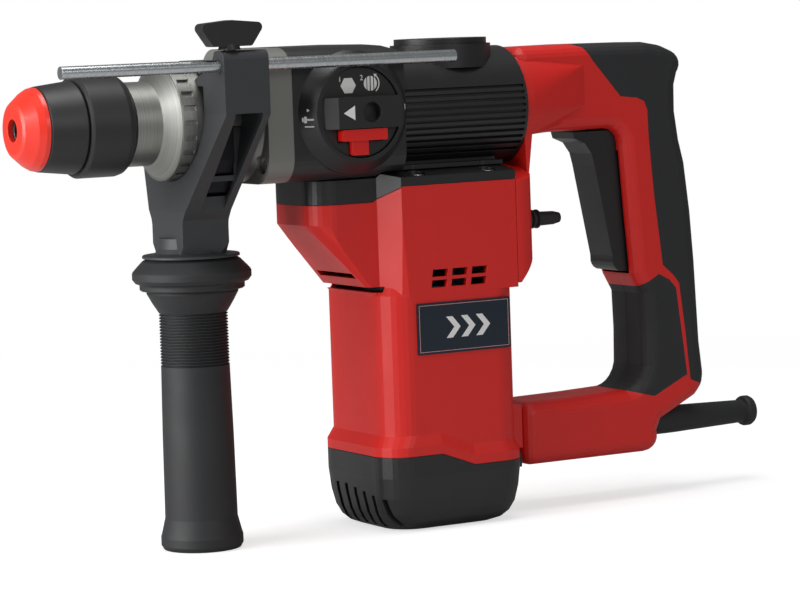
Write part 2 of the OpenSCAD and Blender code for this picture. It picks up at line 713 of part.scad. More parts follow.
fan_blades = 12;
module cooling_fan() color("#34363a") translate([motor_x, 0, -88]) difference() {
    union() {
        cylinder(h = 2, r = 28.5);
        cylinder(h = 14, r = 9);
        for (i = [0:fan_blades - 1]) rotate(i * 360 / fan_blades)
            translate([8, -0.8, 0]) rotate(14) cube([19, 1.6, 13]);
    }
    translate([0, 0, -1]) cylinder(h = 20, r = 4.5);
}

module motor_bearings() color(steel) translate([motor_x, 0, 0]) {
    ball_bearing(-58, 7, 4.55, 11);
    ball_bearing(-182, 7, 4.55, 9.5);
}

module stator_core() color("#85878a") translate([motor_x, 0, 0]) difference() {
    slab_xy(round_rect(-33.5, 33.5, -31, 31, 12), -140, -98);
    translate([0, 0, -141]) cylinder(h = 44, r = 21.3);
    for (s = [-1, 1]) translate([s * 25.6, 0, -119]) cube([6, 34, 50], center = true);
}

module field_coils() color("#b4682c") translate([motor_x, 0, 0])
    for (s = [-1, 1]) difference() {
        translate([s * 25.6, 0, -119]) cube([5.2, 33, 60], center = true);
        translate([s * 25.6, 0, -119]) cube([7, 21, 42.4], center = true);
    }

module brush_holders() color("#b8923c") both_sides() difference() {
    block([motor_x - 5, 13, -165], [motor_x + 5, 30.5, -155]);
    block([motor_x - 3.6, 12, -163.6], [motor_x + 3.6, 29.5, -156.4]);
}

module carbon_brushes() color("#232324") both_sides()
    block([motor_x - 3.5, 12.15, -163.5], [motor_x + 3.5, 26, -156.5]);

// ---- D-handle ----

handle_outline = concat(
    [[261.5, 28.6], [300, 29], [341, 28.6], [352, 26.6], [360, 23.2], [366, 18.2]],
    [[362, 12], [360.2, 6], [360, -8], [362, -22], [365, -34], [368, -60], [369.8, -86],
        [371.6, -128], [373.4, -144], [372.4, -150], [368, -155.5], [346, -166]],
    arc([336, -174], 8, 20, -90, 5),
    [[260.2, -182], [260.2, -150.2], [300, -149.6], [318, -149]],
    arc([322, -135], 14, -80, -10, 5),
    [[336.2, -120], [335.6, -100], [330, -90], [327.6, -60], [325, -24]],
    arc([317, -22.5], 8, 0, 90, 4),
    [[282, -14.8], [271, -15.6], [266.4, -21], [266.4, -30], [261.5, -31]]);

// Rounded body of the D-handle, drawn in by inset
module handle_body(inset) minkowski() {
    translate([0, handle_half - 7, 0]) rotate([90, 0, 0]) linear_extrude(2 * handle_half - 14)
        offset(delta = -7) polygon(handle_outline);
    sphere(r = 7 - inset, $fn = 20);
}
// Front end of the upper arm, as wide as the barrel
module handle_front() hull() {
    intersection() {
        x_bar(barrel_end + 0.3, 266, 28);
        block([250, -40, -15], [280, 40, 28.6]);
    }
    block([300, -handle_half + 5, -8], [302, handle_half - 5, 24]);
    block([300, -handle_half, -2], [302, handle_half, 18]);
}
// Block behind the motor housing
module handle_bridge() intersection() {
    slab_xy(round_rect(240, 262.2, -waist_y, waist_y, 10), -90, -28);
    slab_xz([[seam_x + 0.3, -31], [252, -28.6], [262.2, -31], [262.2, -74],
        [251, -87], [seam_x + 0.3, -87]], -40, 40);
    slab_yz([[-12, -28], [12, -28], [waist_y, -36], [waist_y, -90],
        [-waist_y, -90], [-waist_y, -36]], 240, 270);
}

module handle_solid() {
    handle_body(0);
    handle_front();
    handle_bridge();
    // Neck that joins the block to the upper arm
    slab_xz([[254, -31], [254, -52], [262, -52], [262, -37], [266.2, -31], [266.2, -6], [261.5, -6],
        [261.5, -31]], -14, 14);
    hull() {
        intersection() {
            x_bar(barrel_end + 0.3, 266, 28);
            block([250, -40, -20], [280, 40, -12]);
        }
        block([barrel_end + 0.3, -26, -37], [262.2, 26, -33]);
    }
}

// Side views of the soft parts
back_zone = [[298, 40], [297, 29.2], [303, 27], [308, 20], [324, 1.5], [334, 0.4],
    [338.4, -1.5], [340.2, -6], [340.6, -20], [343, -50], [347.2, -86], [353.5, -91.5],
    [357, -96], [360, -120], [362.6, -146.5], [369, -149], [380, -152], [390, 40]];
panel_zone = [[325, -96], [330, -98.2], [344.6, -90.5], [351, -93.8], [355, -98.2],
    [358, -122], [360.6, -143.6], [340, -153.2], [312, -146], [300, -143], [300, -120]];

module handle_cavity() {
    slab_xz([[318, -26], [340, -26], [352, -10], [356, -30], [362, -80], [366, -140],
        [358, -152], [340, -162], [330, -176], [270, -176], [270, -158], [320, -157],
        [342, -140], [340, -89.5], [322, -89.5]], -12, 12);
}
module trigger_slot() slab_xz([[298, -14], [322, -12], [335, -14.5], [335, -30], [338, -89.5], [318, -89.5]],
    -10.9, 10.9);

module shell_half(side) intersection() {
    difference() {
        handle_solid();
        handle_cavity();
        trigger_slot();
        difference() {
            union() {
                slab_xz(back_zone, -60, 60);
                slab_xz(panel_zone, -60, 60);
            }
            handle_body(soft_skin);
        }
        // Seat of the rubber stud and bore of the cord sleeve
        translate([0, -5, -58.5]) x_bar(259.8, 270, 3.55);
        translate([0, 0, sleeve_axis_z]) x_bar(331.5, 380, 7.4);
        translate([0, 0, sleeve_axis_z]) x_bar(331.7, 335.3, 10.7);
        y_bar(trigger_pivot[0], trigger_pivot[1], -13.5, 13.5, 2);
        handle_screw_places() y_bar(0, 0, -13.2, 30, 1.95);
        handle_screw_places() y_bar(0, 0, handle_half - 4, 30, 3.6);
    }
    block([240, side < 0 ? -60 : 0, -220], [420, side < 0 ? 0 : 60, 60]);
}
module handle_left() color(red) shell_half(-1);
module handle_right() color(red) shell_half(1);

module handle_screw_places() for (p = [[276, 10], [276, -160], [326, -172], [310, 5]])
    translate([p[0], 0, p[1]]) children();
module handle_screws() color(steel) handle_screw_places() difference() {
    union() {
        y_bar(0, 0, -13, handle_half - 3.6, 1.85);
        y_bar(0, 0, handle_half - 4, handle_half - 1.6, 3.4);
    }
    y_bar(0, 0, handle_half - 2.8, handle_half, 1.6, $fn = 6);
}

module soft_skin_zone(zone) difference() {
    intersection() {
        handle_body(0);
        slab_xz(zone, -60, 60);
    }
    handle_body(soft_skin - 0.03);
    trigger_slot();
}
module soft_back_grip() color(black) soft_skin_zone(back_zone);
module panel_half(side) intersection() {
    soft_skin_zone(panel_zone);
    block([240, side < 0 ? -60 : 0.1, -220], [420, side < 0 ? -0.1 : 60, 60]);
}
module grip_panel_left() color(black) panel_half(-1);
module grip_panel_right() color(black) panel_half(1);

module trigger() color(black) difference() {
    slab_xz(concat([[299.4, -15.6], [300.4, -19], [306.5, -21.6]],
        [[310.4, -27], [312, -33], [321.4, -80]],
        arc([327, -82.5], 5.6, 170, 270, 5),
        [[333.6, -88], [334.4, -80], [331, -40]],
        arc(trigger_pivot, 4.2, -10, 90, 6), [[318, -15.6]]), -10.4, 10.4);
    y_bar(trigger_pivot[0], trigger_pivot[1], -12, 12, 2.08);
    slab_xz([[316, -33], [325.6, -79], [345, -79], [345, -33]], -8.2, 8.2);
}

module trigger_pin() color(steel) y_bar(trigger_pivot[0], trigger_pivot[1], -13.4, 13.4, 2);

module switch_module() color("#3c3f44") union() {
    block([344.5, -9.5, -68], [355, 9.5, -34]);
    block([342.8, -3, -58], [344.6, 3, -50]);
}

module damper_block() color("#1a1a1c")
    block([waist_x[1] + 4.3, -15, -182], [260, 15, -174.8]);

// Ribbed rubber stud behind the motor housing
module rubber_stud() color("#161618") translate([0, -5, -58.5]) rotate([0, 90, 0]) rotate_extrude()
    polygon(concat([[0, 260], [3.5, 260]], [for (k = [0:4]) for (s = [0, 1, 2, 3])
        [s == 1 || s == 2 ? 4.8 : 3.6, 266 + (k + s / 4) * 3]],
        [[3.6, 281.5], [3.4, 289], [2.6, 292.6], [0, 293.2]]));

module cord_sleeve() color("#232325") translate([0, 0, sleeve_axis_z]) rotate([0, 90, 0])
    difference() {
        rotate_extrude() polygon([[3.6, 332], [10.5, 332], [10.5, 335], [7.3, 335], [7.2, 362],
            [6, 405], [6.1, 406.6], [7.5, 407.4], [7.9, 408.3], [7.9, 411], [7.2, 412.3],
            [4.4, 412.6], [3.6, 412.2]]);
    }

dust_cap();
front_collar();
locking_sleeve();
sleeve_spring();
locking_balls();
spindle();
spindle_seal();
spindle_bearing();
striker();
flying_ram();
ram_o_ring();
piston();
wrist_pin();
connecting_rod();
crankshaft();
crank_gear();
intermediate_gear();
bevel_pinion();
bevel_ring_gear();
shift_sleeve();
gear_bushes();
gearbox_neck();
gearbox_housing();
bearing_flange();
housing_screws();
grease_cap();
selector_dial();
lock_button();
side_handle_yoke();
clamp_band();
clamp_bolt();
hand_guard();
side_grip();
wing_screw();
depth_rod();
motor_housing();
label_plate();
end_cap();
armature_shaft();
armature_core();
armature_windings();
commutator();
cooling_fan();
motor_bearings();
stator_core();
field_coils();
brush_holders();
carbon_brushes();
handle_left();
handle_right();
soft_back_grip();
grip_panel_left();
grip_panel_right();
handle_screws();
trigger();
trigger_pin();
switch_module();
damper_block();
rubber_stud();
cord_sleeve();
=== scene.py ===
# %% [markdown]
# # Rotary hammer
# A rotary hammer drives a drill bit with an air-cushion hammer while it turns it. This lesson
# loads the measured model, keeps its parts where they are, and gives each one the finish that
# the real material has. Small printed and moulded details that a maker adds last are modelled
# here. All lengths are in metres. The nose points to -X, the handle to +X and +Z is up.

import math

import bpy
from mathutils import Matrix, Vector


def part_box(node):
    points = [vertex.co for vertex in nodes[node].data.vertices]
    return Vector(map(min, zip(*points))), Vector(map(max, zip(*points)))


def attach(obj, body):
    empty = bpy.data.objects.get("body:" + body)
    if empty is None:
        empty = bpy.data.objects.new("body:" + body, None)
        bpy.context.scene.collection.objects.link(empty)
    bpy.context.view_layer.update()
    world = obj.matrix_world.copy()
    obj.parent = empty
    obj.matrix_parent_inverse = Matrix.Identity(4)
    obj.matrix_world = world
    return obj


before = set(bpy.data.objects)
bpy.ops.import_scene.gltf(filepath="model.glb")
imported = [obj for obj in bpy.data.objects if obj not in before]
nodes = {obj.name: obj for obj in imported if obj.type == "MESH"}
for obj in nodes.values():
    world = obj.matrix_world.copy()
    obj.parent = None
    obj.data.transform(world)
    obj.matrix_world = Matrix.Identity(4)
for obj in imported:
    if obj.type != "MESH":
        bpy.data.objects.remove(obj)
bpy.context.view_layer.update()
print("parts:", len(nodes))

# %% [markdown]
# The camera comes first, because every later choice is judged through it. It stands in front
# of the nose and to the left, a little above the tool's middle, with a long lens. A long lens
# keeps the tool's upright motor upright.

# %% Camera
scene = bpy.context.scene
camera_data = bpy.data.cameras.new("camera")
camera_data.sensor_width = 36
camera_data.lens = 148.5
camera = bpy.data.objects.new("camera", camera_data)
scene.collection.objects.link(camera)
scene.camera = camera
azimuth, elevation, roll = math.radians(-30), math.radians(5.2), math.radians(-2)
level = math.cos(elevation)
back = Vector((math.sin(azimuth) * level, -math.cos(azimuth) * level, math.sin(elevation)))
target = Vector((0.18682, -0.02457, -0.09156))
distance = 1.60976
camera.location = target + back * distance
facing = back.to_track_quat("Z", "Y").to_matrix().to_4x4()
camera.matrix_world = Matrix.Translation(camera.location) @ Matrix.Rotation(roll, 4, back) @ facing
print("camera at", [round(v, 3) for v in camera.location])

# %% [markdown]
# The studio is a pale floor, a soft white surround and three soft lamps. The brightest lamp is
# on the nose's side, so faces that look towards the nose are light and the flanks are darker.
# That contrast is what shows the shape of the housings.

# %% Floor and lamps
scene.view_settings.view_transform = "Standard"
# The floor lies a fifth of a millimetre under the end cap, so the two never share a face
floor_z = -0.2052
bpy.ops.mesh.primitive_plane_add(size=8, location=(0.2, 0, floor_z))
floor = bpy.context.active_object
floor.name = "floor"
world = bpy.data.worlds.new("studio")
scene.world = world
world.use_nodes = True
surround = world.node_tree
background = surround.nodes["Background"]
background.inputs["Color"].default_value = (1, 1, 1, 1)
# The camera sees a white backdrop, while only a part of that white lights the tool
sight = surround.nodes.new("ShaderNodeLightPath")
dim = surround.nodes.new("ShaderNodeMapRange")
dim.inputs["To Min"].default_value = 0.20
surround.links.new(sight.outputs["Is Camera Ray"], dim.inputs["Value"])
surround.links.new(dim.outputs["Result"], background.inputs["Strength"])


def lamp(name, place, aim, size, power):
    data = bpy.data.lights.new(name, "AREA")
    data.size = size
    data.energy = power
    lamp_object = bpy.data.objects.new(name, data)
    scene.collection.objects.link(lamp_object)
    lamp_object.location = place
    lamp_object.rotation_euler = (Vector(place) - Vector(aim)).to_track_quat("Z", "Y").to_euler()


middle = (0.19, 0, -0.08)
lamp("key_lamp", (-1.25, 0.02, 0.32), middle, 1.2, 32)
lamp("top_lamp", (0.15, -0.1, 1.2), middle, 0.7, 10)
lamp("side_lamp", (0.3, -1.5, 0.55), middle, 0.5, 4)

# %% [markdown]
# Colours are written as the hex codes that a paint or plastics maker uses. Blender's shaders
# work in linear light, so one function turns a code into linear numbers. One more function
# adds a node with its settings and its links, which keeps each finish short to read.

# %% Helpers for finishes
def linear(code):
    values = [int(code[i:i + 2], 16) / 255 for i in (1, 3, 5)]
    return tuple(v / 12.92 if v <= 0.04045 else ((v + 0.055) / 1.055) ** 2.4 for v in values) + (1.0,)


def add(tree, kind, settings=None, links=None):
    """A new node. settings are its properties or input values, links are input name to an output socket."""
    node = tree.nodes.new(kind)
    for name, value in (settings or {}).items():
        if name in node.inputs:
            node.inputs[name].default_value = value
        else:
            setattr(node, name, value)
    for name, socket in (links or {}).items():
        tree.links.new(socket, node.inputs[name])
    return node


finishes = {}


def new_finish(name):
    """A material with its Principled shader, its tree and the place of each point on the part."""
    finish = bpy.data.materials.new(name)
    finish.use_nodes = True
    finishes[name] = finish
    tree = finish.node_tree
    place = add(tree, "ShaderNodeTexCoord").outputs["Object"]
    return tree, tree.nodes["Principled BSDF"], place


def grained(name, colour, shade, roughness, grain_mm, depth_mm, edge_mm=0.35, coat=0.0, spread=0.08):
    """A moulded or cast surface: a fine grain, a slow change of colour, and softened edges."""
    tree, shader, place = new_finish(name)
    slow = add(tree, "ShaderNodeTexNoise", {"Scale": 45.0, "Detail": 3.0}, {"Vector": place})
    tint = add(tree, "ShaderNodeMix", {"data_type": "RGBA"}, {"Factor": slow.outputs["Fac"]})
    tint.inputs[6].default_value = linear(colour)
    tint.inputs[7].default_value = linear(shade)
    tree.links.new(tint.outputs[2], shader.inputs["Base Color"])
    grain = add(tree, "ShaderNodeTexNoise", {"Scale": 1000.0 / grain_mm, "Detail": 2.0}, {"Vector": place})
    rough = add(tree, "ShaderNodeMapRange", {"To Min": roughness - spread, "To Max": roughness + spread},
                {"Value": slow.outputs["Fac"]})
    tree.links.new(rough.outputs["Result"], shader.inputs["Roughness"])
    edge = add(tree, "ShaderNodeBevel", {"samples": 6, "Radius": edge_mm / 1000})
    bump = add(tree, "ShaderNodeBump", {"Strength": 0.5, "Distance": depth_mm / 1000},
               {"Height": grain.outputs["Fac"], "Normal": edge.outputs["Normal"]})
    tree.links.new(bump.outputs["Normal"], shader.inputs["Normal"])
    shader.inputs["Coat Weight"].default_value = coat


# %% [markdown]
# The red housings and handle shells are glass-filled nylon. The mould is spark-eroded, so the
# surface has a fine matt grain about a third of a millimetre across, which spreads each
# highlight. The grain is drawn as a bump, and the colour changes very slightly with it.

# %% Moulded plastics
grained("red_nylon_moulded", "#d0180f", "#c6150d", 0.45, 0.45, 0.03)
grained("red_elastomer_cap", "#e2301f", "#d92a1b", 0.34, 0.8, 0.01, 0.5, coat=0.1)
grained("red_acetal_button", "#d21a13", "#c81711", 0.32, 0.8, 0.008, 0.25)
grained("black_nylon_moulded", "#1b1b1d", "#161618", 0.40, 0.45, 0.03)
grained("grey_nylon_moulded", "#2f3133", "#292b2d", 0.50, 0.55, 0.04)
grained("black_elastomer", "#1e1f21", "#18191b", 0.62, 0.5, 0.05)
grained("black_chuck_nylon", "#222224", "#1c1c1e", 0.46, 0.5, 0.03, 0.4)
grained("fan_nylon", "#303236", "#26282b", 0.5, 0.6, 0.03)
grained("label_film_printed", "#0d1c2c", "#0b1826", 0.28, 2.0, 0.003, 0.1)
grained("print_white", "#dededc", "#d4d4d2", 0.5, 0.8, 0.004, 0.05)
grained("print_rose", "#b98a8c", "#ab7c7e", 0.5, 0.8, 0.004, 0.02)
print("moulded and printed finishes:", len(finishes))

# %% [markdown]
# Turned metal keeps the fine rings that the lathe tool leaves round it. The rings are noise
# that changes quickly along the axis and hardly at all round it, so a highlight breaks into
# streaks across the part.

# %% Metals
def turned_metal(name, colour, shade, roughness, axis, pitch_mm=0.8, depth_mm=0.01, spread=0.12):
    tree, shader, place = new_finish(name)
    scale = [6.0, 6.0, 6.0]
    scale[axis] = 1000.0 / pitch_mm
    mapping = add(tree, "ShaderNodeMapping", {"Scale": scale}, {"Vector": place})
    rings = add(tree, "ShaderNodeTexNoise", {"Scale": 1.0, "Detail": 3.0},
                {"Vector": mapping.outputs["Vector"]})
    tint = add(tree, "ShaderNodeMix", {"data_type": "RGBA"}, {"Factor": rings.outputs["Fac"]})
    tint.inputs[6].default_value = linear(colour)
    tint.inputs[7].default_value = linear(shade)
    tree.links.new(tint.outputs[2], shader.inputs["Base Color"])
    rough = add(tree, "ShaderNodeMapRange", {"To Min": roughness - spread, "To Max": roughness + spread},
                {"Value": rings.outputs["Fac"]})
    tree.links.new(rough.outputs["Result"], shader.inputs["Roughness"])
    edge = add(tree, "ShaderNodeBevel", {"samples": 6, "Radius": 0.0003})
    bump = add(tree, "ShaderNodeBump", {"Strength": 0.4, "Distance": depth_mm / 1000},
               {"Height": rings.outputs["Fac"], "Normal": edge.outputs["Normal"]})
    tree.links.new(bump.outputs["Normal"], shader.inputs["Normal"])
    shader.inputs["Metallic"].default_value = 1.0


turned_metal("aluminium_turned", "#a2a3a0", "#83847f", 0.42, 0)
turned_metal("zinc_plated_rod", "#d0d4d6", "#a9aeb1", 0.26, 0, 1.5)
turned_metal("steel_black_oxide", "#2c2c2f", "#1f1f22", 0.40, 0)
turned_metal("tool_steel_ground", "#a9adb2", "#8f9499", 0.30, 0)
turned_metal("tool_steel_upright", "#a9adb2", "#8f9499", 0.30, 2)
turned_metal("bearing_steel_polished", "#c6c9cd", "#b0b4b8", 0.18, 0)
turned_metal("spring_steel_bright", "#b9bdc1", "#9da1a6", 0.26, 2)
turned_metal("zinc_plated_screw", "#cfd0cc", "#b6b8b6", 0.28, 1)
turned_metal("bronze_sintered", "#b08a4a", "#94703a", 0.42, 2)
turned_metal("copper_bar", "#c07845", "#a4602f", 0.34, 2)
turned_metal("brass_pressed", "#c8a45a", "#b28d48", 0.33, 2)
turned_metal("steel_sheets_stacked", "#84878b", "#4c4f53", 0.45, 2, 0.9, 0.08)
grained("carbon_pressed", "#2a2a2c", "#1e1e20", 0.62, 0.4, 0.05)
print("finishes with the metals:", len(finishes))

# %% [markdown]
# Enamelled copper windings look amber-brown and are laid in close turns. The turns are a wave
# across the coil, one wire wide, with a varnish coat on top.

# %% Windings
tree, shader, place = new_finish("copper_wire_varnished")
wave = add(tree, "ShaderNodeTexWave",
           {"Scale": 260.0, "Distortion": 1.5, "Detail": 2.0, "bands_direction": "Z"}, {"Vector": place})
tint = add(tree, "ShaderNodeMix", {"data_type": "RGBA"}, {"Factor": wave.outputs["Fac"]})
tint.inputs[6].default_value = linear("#7a3a18")
tint.inputs[7].default_value = linear("#b8652c")
tree.links.new(tint.outputs[2], shader.inputs["Base Color"])
bump = add(tree, "ShaderNodeBump", {"Strength": 0.7, "Distance": 0.0004}, {"Height": wave.outputs["Fac"]})
tree.links.new(bump.outputs["Normal"], shader.inputs["Normal"])
shader.inputs["Metallic"].default_value = 0.7
shader.inputs["Roughness"].default_value = 0.35
shader.inputs["Coat Weight"].default_value = 0.6
print("winding finish nodes:", len(tree.nodes))

# %% [markdown]
# The gearbox neck is one aluminium casting. The round neck and its castellated ring are turned
# bright, while the square plate behind them is left as cast and is painted a dark satin grey.
# The finish changes where the plate starts, at a fixed place along the tool.

# %% Neck, turned in front and painted behind
tree, shader, place = new_finish("aluminium_neck")
along = add(tree, "ShaderNodeSeparateXYZ", None, {"Vector": place}).outputs["X"]
plate_depth = 0.0135
plate_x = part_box("gearbox_neck")[1][0] - plate_depth
behind = add(tree, "ShaderNodeMapRange", {"From Min": plate_x - 0.0004, "From Max": plate_x},
             {"Value": along})
stretch = add(tree, "ShaderNodeMapping", {"Scale": (1300, 6, 6)}, {"Vector": place})
rings = add(tree, "ShaderNodeTexNoise", {"Scale": 1.0, "Detail": 3.0},
            {"Vector": stretch.outputs["Vector"]})
bright = add(tree, "ShaderNodeMix", {"data_type": "RGBA"}, {"Factor": rings.outputs["Fac"]})
bright.inputs[6].default_value = linear("#a6a6a2")
bright.inputs[7].default_value = linear("#7d7e79")
both = add(tree, "ShaderNodeMix", {"data_type": "RGBA"}, {"Factor": behind.outputs["Result"]})
tree.links.new(bright.outputs[2], both.inputs[6])
both.inputs[7].default_value = linear("#767672")
tree.links.new(both.outputs[2], shader.inputs["Base Color"])
metal = add(tree, "ShaderNodeMapRange", {"To Min": 1.0, "To Max": 0.35}, {"Value": behind.outputs["Result"]})
tree.links.new(metal.outputs["Result"], shader.inputs["Metallic"])
rough = add(tree, "ShaderNodeMapRange", {"To Min": 0.36, "To Max": 0.52}, {"Value": rings.outputs["Fac"]})
tree.links.new(rough.outputs["Result"], shader.inputs["Roughness"])
edge = add(tree, "ShaderNodeBevel", {"samples": 6, "Radius": 0.0004})
bump = add(tree, "ShaderNodeBump", {"Strength": 0.4, "Distance": 0.00001},
           {"Height": rings.outputs["Fac"], "Normal": edge.outputs["Normal"]})
tree.links.new(bump.outputs["Normal"], shader.inputs["Normal"])
print("plate starts at", round(plate_x, 4))

# %% [markdown]
# Every measured part now gets the finish of its material. A part keeps one finish all over,
# as a moulding or a turned part does. Only the neck's finish changes partway, inside itself.

# %% Which part has which finish
finish_of = {
    "red_nylon_moulded": "motor_housing handle_left handle_right",
    "red_elastomer_cap": "dust_cap",
    "red_acetal_button": "lock_button",
    "black_nylon_moulded": "gearbox_housing bearing_flange grease_cap selector_dial end_cap "
                           "wing_screw trigger switch_module",
    "grey_nylon_moulded": "side_handle_yoke",
    "black_elastomer": "soft_back_grip grip_panel_left grip_panel_right cord_sleeve damper_block rubber_stud "
                       "spindle_seal ram_o_ring side_grip hand_guard",
    "black_chuck_nylon": "front_collar locking_sleeve",
    "fan_nylon": "cooling_fan",
    "label_film_printed": "label_plate",
    "aluminium_turned": "piston connecting_rod",
    "aluminium_neck": "gearbox_neck",
    "zinc_plated_rod": "depth_rod",
    "tool_steel_ground": "spindle striker flying_ram locking_balls bevel_ring_gear shift_sleeve",
    "tool_steel_upright": "crankshaft crank_gear intermediate_gear bevel_pinion armature_shaft wrist_pin",
    "bearing_steel_polished": "spindle_bearing motor_bearings",
    "spring_steel_bright": "sleeve_spring clamp_bolt",
    "steel_black_oxide": "clamp_band",
    "zinc_plated_screw": "housing_screws handle_screws trigger_pin",
    "bronze_sintered": "gear_bushes",
    "copper_bar": "commutator",
    "copper_wire_varnished": "armature_windings field_coils",
    "brass_pressed": "brush_holders",
    "steel_sheets_stacked": "armature_core stator_core",
    "carbon_pressed": "carbon_brushes",
}
for name, parts in finish_of.items():
    for part in parts.split():
        nodes[part].data.materials.clear()
        nodes[part].data.materials.append(finishes[name])
        nodes[part].select_set(False)
print("parts without a finish:", sorted(set(nodes) - {p for ps in finish_of.values() for p in ps.split()}))

# %% [markdown]
# The selector's marks are pad-printed in white ink, which a silicone pad carries from an etched
# plate to the dial. Ink lies on the surface, so each mark is a thin raised shape. It stands
# 0.15 mm proud here, a little more than real ink, so that it always shows. Every mark starts
# as a simple solid of the right size and place, and one function then fixes that place into
# its mesh and lets it move with the dial.

# %% How a mark is placed
def settle(name, body, finish, rounding=0.00012):
    piece = bpy.context.active_object
    bpy.ops.object.transform_apply(location=True, rotation=True, scale=True)
    # Ink draws its corners round, so the sharp edges get a small bevel
    bpy.ops.object.mode_set(mode="EDIT")
    bpy.ops.mesh.select_mode(type="EDGE")
    bpy.ops.mesh.select_all(action="DESELECT")
    bpy.ops.mesh.edges_select_sharp(sharpness=math.radians(50))
    bpy.ops.mesh.bevel(offset=rounding, segments=2, affect="EDGES", clamp_overlap=True)
    bpy.ops.object.mode_set(mode="OBJECT")
    piece.name = name
    piece.data.materials.append(finishes[finish])
    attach(piece, body)
    piece.select_set(False)
    print(name, "faces:", len(piece.data.polygons))


bpy.ops.object.select_all(action="DESELECT")
dial_low, dial_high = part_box("selector_dial")
dial_x = (dial_low[0] + dial_high[0]) / 2
dial_z = (dial_low[2] + dial_high[2]) / 2
bar_y = dial_low[1]
bar_height = 0.0055
face_y = bar_y + bar_height
upright = math.pi / 2
# A mark is this thick, and half of it is sunk in the dial
ink = 0.0003
print("dial centre", round(dial_x, 4), round(dial_z, 4), "face", round(face_y, 4))

# %% [markdown]
# The first mark is a blank six-sided sign for the position in which nothing turns. A cylinder
# with six sides gives it, turned so that a flat side is on top.

# %% Six-sided sign
bpy.ops.mesh.primitive_cylinder_add(vertices=6, radius=0.0042, depth=ink,
                                    location=(dial_x - 0.006, face_y, dial_z + 0.0129),
                                    rotation=(upright, math.pi / 6, 0))
settle("dial_sign", "dial", "print_white")

# %% [markdown]
# The second mark stands for a turning bit: a disc seen as four upright bars with a curved
# arrow beside it. Each bar is the same disc, cut down by two parallel planes.

# %% Turning-bit sign
disc_place = (dial_x + 0.0061, face_y, dial_z + 0.0135)
for number, (left, right) in enumerate([(-3.6, -2.2), (-1.6, -0.3), (0.3, 1.6), (2.2, 3.6)]):
    bpy.ops.mesh.primitive_cylinder_add(vertices=40, radius=0.0036, depth=ink, location=disc_place,
                                        rotation=(upright, 0, 0))
    bpy.ops.object.mode_set(mode="EDIT")
    for offset, side in ((left, -1), (right, 1)):
        bpy.ops.mesh.select_all(action="SELECT")
        bpy.ops.mesh.bisect(plane_co=(disc_place[0] + offset / 1000, face_y, disc_place[2]),
                            plane_no=(side, 0, 0), use_fill=True, clear_outer=True)
    bpy.ops.object.mode_set(mode="OBJECT")
    settle(f"dial_disc_bar_{number + 1}", "dial", "print_white")

# %% [markdown]
# The arrow's shaft is a thin ring of which only the right-hand part is kept. Its head is a
# three-sided cylinder. The ring is flattened to the same height as the other marks.

# %% Curved arrow
bpy.ops.mesh.primitive_torus_add(major_radius=0.0048, minor_radius=0.00032, major_segments=60,
                                 minor_segments=8, location=disc_place, rotation=(upright, 0, 0))
bpy.context.active_object.scale = (1, 1, 0.47)
bpy.ops.object.mode_set(mode="EDIT")
bpy.ops.mesh.select_all(action="SELECT")
bpy.ops.mesh.bisect(plane_co=(disc_place[0] + 0.003, face_y, disc_place[2]), plane_no=(-1, 0, 0),
                    use_fill=True, clear_outer=True)
bpy.ops.object.mode_set(mode="OBJECT")
settle("dial_arrow_shaft", "dial", "print_white")
bpy.ops.mesh.primitive_cylinder_add(vertices=3, radius=0.0011, depth=ink,
                                    location=(disc_place[0] + 0.0028, face_y, disc_place[2] + 0.0039),
                                    rotation=(upright, math.radians(-55), 0))
settle("dial_arrow_head", "dial", "print_white")

# %% [markdown]
# Two plain figures number the positions. A figure starts as a text object, gets a small
# thickness, and is turned into a mesh before it is placed.

# %% Figures
for figure, offset_x, offset_z, size in (("1", -0.0105, 0.0149, 0.0034), ("2", 0.0013, 0.0152, 0.0036)):
    bpy.ops.object.text_add(location=(dial_x + offset_x, face_y, dial_z + offset_z),
                            rotation=(upright, 0, 0))
    writing = bpy.context.active_object.data
    writing.body = figure
    writing.size = size
    writing.align_x = "CENTER"
    writing.extrude = ink / 2
    writing.resolution_u = 4
    bpy.ops.object.convert(target="MESH")
    settle("dial_figure_" + figure, "dial", "print_white")

# %% [markdown]
# The bar of the dial carries the pointer, a triangle that aims at the chosen position. It is
# moulded in white and pressed into the bar.

# %% Pointer
bpy.ops.mesh.primitive_cylinder_add(vertices=3, radius=0.0040, depth=ink,
                                    location=(dial_x - 0.0078, bar_y, dial_z),
                                    rotation=(upright, -upright, 0))
bpy.context.active_object.scale = (1, 1.02, 1)
settle("dial_pointer", "dial", "print_white")

# %% [markdown]
# The boss round the dial has the signs that the pointer is turned to. They lie on its sloping
# rim, so they are turned with the slope: a hammer, a bit under it and a small triangle above.
# A dot on the other side marks the position straight across.

# %% Signs on the rim
rim_start, rim_rise, rim_run = 0.024, 8, 5.8
slope = math.atan2(rim_rise, rim_run)


def rim_place(radius, height, side=-1):
    """A place on the rim's slope. side is -1 towards the nose and 1 towards the handle."""
    depth = face_y - 0.001 + (radius - rim_start) * rim_rise / rim_run
    return (dial_x + side * radius, depth, dial_z + height)


def rim_bar(name, radius, height, length, width, side=-1):
    bpy.ops.mesh.primitive_cube_add(size=1, location=rim_place(radius, height, side),
                                    rotation=(0, 0, side * slope))
    bpy.context.active_object.scale = (length, ink, width)
    settle(name, "tool", "print_white")


